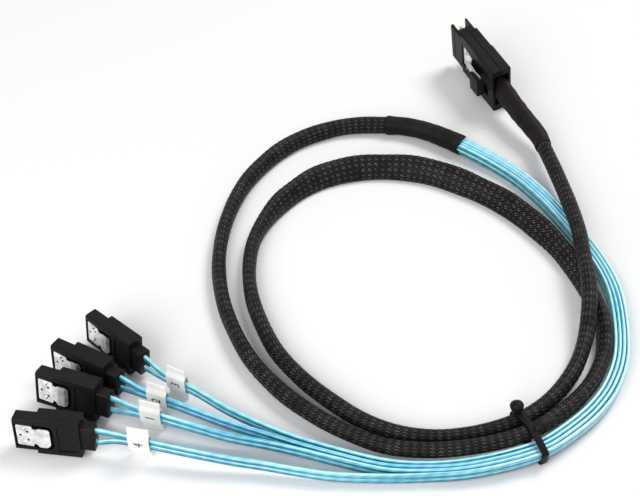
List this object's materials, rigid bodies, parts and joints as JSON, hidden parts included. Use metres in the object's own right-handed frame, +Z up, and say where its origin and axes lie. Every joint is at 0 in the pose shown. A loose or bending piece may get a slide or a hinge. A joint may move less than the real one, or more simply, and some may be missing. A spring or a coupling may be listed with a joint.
{
  "type": "mini SAS breakout cable",
  "caption": "Breakout cable: a wide latching server plug, a braided black sleeve coiled on a table, and pale blue flat cables fanning to latching disk drive plugs with numbered labels.",
  "frame": {"origin": "centre of the bounding box of the plugs, labels, tie and shrink tubes, at the table (the flexible sleeve and cables are left out of the box)", "axes": "+Z is up from the table, +Y runs from the small plugs' side of the coil towards the wide plug, and +X is the viewer's right"},
  "size_m": [0.2047, 0.2176, 0.0254],
  "materials": {
    "moulded_black": "moulded, faint sheen",
    "latch_steel": "bright stamped steel",
    "contact_gold": "gold plated",
    "circuit_board": "solder mask",
    "clamp_resin": "cast resin",
    "cable_blue": "pearly, satin",
    "braid_black": "fine woven mesh",
    "label_paper": "matt printed label",
    "shrink_black": "satin shrink tube"
  },
  "bodies": {
    "root": {"mini_sas_latch_side_shell": "moulded_black", "mini_sas_plain_side_shell": "moulded_black", "mini_sas_paddle_card": "circuit_board", "mini_sas_wire_clamp": "clamp_resin", "mini_sas_boot": "shrink_black", "braided_sleeve": "braid_black", "split_heat_shrink": "shrink_black", "sata_1_nose_housing": "moulded_black", "sata_1_contact_wafer": "contact_gold", "sata_1_overmold": "moulded_black", "twin_cable_1_lower": "cable_blue", "twin_cable_1_upper": "cable_blue", "sata_1_label": "label_paper", "sata_2_nose_housing": "moulded_black", "sata_2_contact_wafer": "contact_gold", "sata_2_overmold": "moulded_black", "twin_cable_2_lower": "cable_blue", "twin_cable_2_upper": "cable_blue", "sata_2_label": "label_paper", "sata_3_nose_housing": "moulded_black", "sata_3_contact_wafer": "contact_gold", "sata_3_overmold": "moulded_black", "twin_cable_3_lower": "cable_blue", "twin_cable_3_upper": "cable_blue", "sata_3_label": "label_paper", "sata_4_nose_housing": "moulded_black", "sata_4_contact_wafer": "contact_gold", "sata_4_overmold": "moulded_black", "twin_cable_4_lower": "cable_blue", "twin_cable_4_upper": "cable_blue", "sata_4_label": "label_paper", "cable_tie": "moulded_black"},
    "wide_latch": {"mini_sas_latch": "latch_steel", "mini_sas_thumb_button": "moulded_black"},
    "sata_1_latch_spring": {"sata_1_latch": "latch_steel"},
    "sata_2_latch_spring": {"sata_2_latch": "latch_steel"},
    "sata_3_latch_spring": {"sata_3_latch": "latch_steel"},
    "sata_4_latch_spring": {"sata_4_latch": "latch_steel"}
  },
  "joints": [
    {"name": "wide_latch_press", "type": "hinge", "parent": "root", "child": "wide_latch", "pos_m": [0.06415, 0.09267, 0.01302], "axis": [-0.1457, -0.1409, 0.9792], "range_deg": [0, 4.5], "stiffness_Nm_per_rad": 0.05},
    {"name": "sata_1_latch_press", "type": "hinge", "parent": "root", "child": "sata_1_latch_spring", "pos_m": [-0.08962, -0.08126, 0.00831], "axis": [0.0838, 0.2449, 0.9659], "range_deg": [0, 4], "stiffness_Nm_per_rad": 0.05},
    {"name": "sata_2_latch_press", "type": "hinge", "parent": "root", "child": "sata_2_latch_spring", "pos_m": [-0.08646, -0.06941, 0.0079], "axis": [0.0634, 0.1239, 0.9903], "range_deg": [0, 4], "stiffness_Nm_per_rad": 0.05},
    {"name": "sata_3_latch_press", "type": "hinge", "parent": "root", "child": "sata_3_latch_spring", "pos_m": [-0.07703, -0.05643, 0.0079], "axis": [0.088, 0.1079, 0.9903], "range_deg": [0, 4], "stiffness_Nm_per_rad": 0.05},
    {"name": "sata_4_latch_press", "type": "hinge", "parent": "root", "child": "sata_4_latch_spring", "pos_m": [-0.09346, -0.0989, 0.00815], "axis": [0.0246, 0.2064, 0.9781], "range_deg": [0, 4], "stiffness_Nm_per_rad": 0.05}
  ]
}
